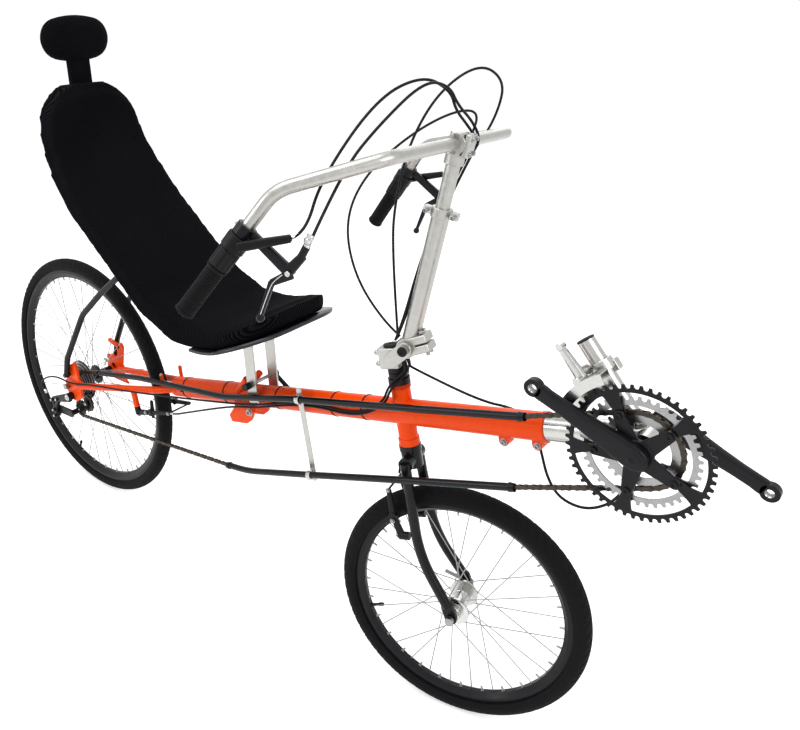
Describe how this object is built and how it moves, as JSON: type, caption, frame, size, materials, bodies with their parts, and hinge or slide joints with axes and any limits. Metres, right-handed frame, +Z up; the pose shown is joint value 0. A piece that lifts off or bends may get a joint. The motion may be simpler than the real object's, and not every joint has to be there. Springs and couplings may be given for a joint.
{
  "type": "recumbent bicycle",
  "caption": "Short-wheelbase recumbent bicycle: long sloping main tube, reclined mesh seat with headrest, small steered front wheel, large rear wheel, cranks ahead, upright tiller bars.",
  "frame": {"origin": "on the seat pad's surface, where the rider sits, at the middle of the bicycle", "axes": "+X forward, +Y to the rider's left, +Z up"},
  "size_m": [2.0171, 0.7519, 1.321],
  "materials": {
    "orange_paint": "gloss",
    "black_paint": "gloss",
    "silver_alloy": "satin",
    "polished_alloy": "polished",
    "black_alloy": "satin",
    "steel": "brushed",
    "chain_steel": "oiled",
    "tyre_rubber": "matte",
    "grip_rubber": "matte",
    "black_plastic": "matte",
    "mesh_fabric": "woven mesh",
    "shell_black": "satin"
  },
  "bodies": {
    "frame": {"main_frame": "orange_paint", "boom": "polished_alloy", "headset_cups": "black_paint", "seat_stays": "black_paint", "seat_pad": "mesh_fabric", "seat_shell": "shell_black", "headrest": "mesh_fabric", "headrest_post": "black_plastic", "seat_struts": "silver_alloy", "seat_lever": "black_alloy", "chain": "chain_steel", "upper_chain_tube": "black_plastic", "lower_chain_tube": "black_plastic", "chain_tube_arm": "silver_alloy", "rear_derailleur": "black_alloy", "front_derailleur": "polished_alloy", "rear_skewer": "steel"},
    "rear_wheel": {"rear_tyre": "tyre_rubber", "rear_rim": "black_alloy", "rear_spokes": "steel", "rear_hub": "black_alloy", "cassette": "steel"},
    "steering": {"fork": "black_paint", "front_skewer": "steel", "stem": "silver_alloy"},
    "front_wheel": {"front_tyre": "tyre_rubber", "front_rim": "black_alloy", "front_spokes": "steel", "front_hub": "polished_alloy"},
    "tiller": {"post": "silver_alloy", "post_upper": "silver_alloy", "clamps": "polished_alloy", "handlebar": "polished_alloy", "grips": "grip_rubber", "shifters": "black_plastic", "brake_levers": "black_alloy"},
    "crankset": {"cranks": "black_alloy", "inner_chainring": "steel", "middle_chainring": "polished_alloy", "outer_chainring": "black_alloy"}
  },
  "joints": [
    {"name": "rear_wheel_spin", "type": "hinge", "parent": "frame", "child": "rear_wheel", "pos_m": [-0.59, 0, -0.376], "axis": [0, 1, 0], "continuous": true},
    {"name": "steer", "type": "hinge", "parent": "frame", "child": "steering", "pos_m": [0.46926, 0, -0.09415], "axis": [-0.2419, 0, 0.9703], "range_deg": [-48.3, 21.7]},
    {"name": "front_wheel_spin", "type": "hinge", "parent": "steering", "child": "front_wheel", "pos_m": [0.6137, 0.0115, -0.47232], "axis": [-0.2232, 0.9732, -0.0557], "continuous": true},
    {"name": "tiller_tilt", "type": "hinge", "parent": "steering", "child": "tiller", "pos_m": [0.46703, 0.00715, 0.0398], "axis": [-0.2232, 0.9732, -0.0557], "range_deg": [-8, 30]},
    {"name": "crank_spin", "type": "hinge", "parent": "frame", "child": "crankset", "pos_m": [0.90885, 0, 0.02281], "axis": [0, 1, 0], "continuous": true}
  ]
}
